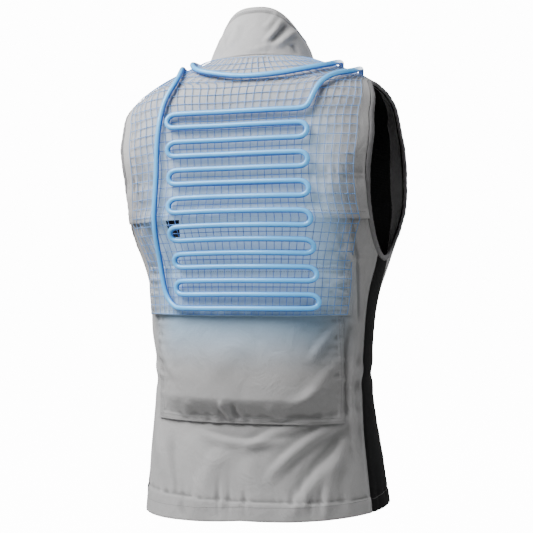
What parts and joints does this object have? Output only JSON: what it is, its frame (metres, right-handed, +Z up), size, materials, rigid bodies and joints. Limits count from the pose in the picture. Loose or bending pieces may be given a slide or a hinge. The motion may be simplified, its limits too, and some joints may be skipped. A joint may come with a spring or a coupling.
{
  "type": "cooling vest",
  "caption": "Grey sleeveless vest in its worn shape: stand collar, free-edged back yoke, flapped back pocket, black side panels, blue net and winding cooling tube",
  "frame": {"origin": "middle of the neck opening at the height of the nape seam, where the shoulders carry the vest", "axes": "+Z up along the wearer's back, +Y towards the wearer's back, +X towards the wearer's left"},
  "size_m": [0.4364, 0.2999, 0.7782],
  "materials": {
    "shell": "matt woven light grey cloth",
    "side": "matt black knit",
    "lining": "matt black mesh",
    "facing": "matt dark grey cloth",
    "binding": "matt grey ribbed edging",
    "plastic": "satin dark grey plastic",
    "net": "blue thread net",
    "tube": "smooth light blue tube"
  },
  "bodies": {
    "root": {"back_yoke": "shell", "back_panel": "shell", "back_lining": "lining", "left_front": "shell", "left_side_panel": "side", "left_front_lining": "lining", "left_front_facing": "facing", "left_armhole_binding": "binding", "right_front": "shell", "right_side_panel": "side", "right_front_lining": "lining", "right_front_facing": "facing", "right_armhole_binding": "binding", "collar": "shell", "front_zip": "plastic", "back_pocket": "shell", "pocket_flap": "shell", "cooling_net": "net", "tube_coupling": "plastic", "cooling_tube": "tube"}
  },
  "joints": []
}
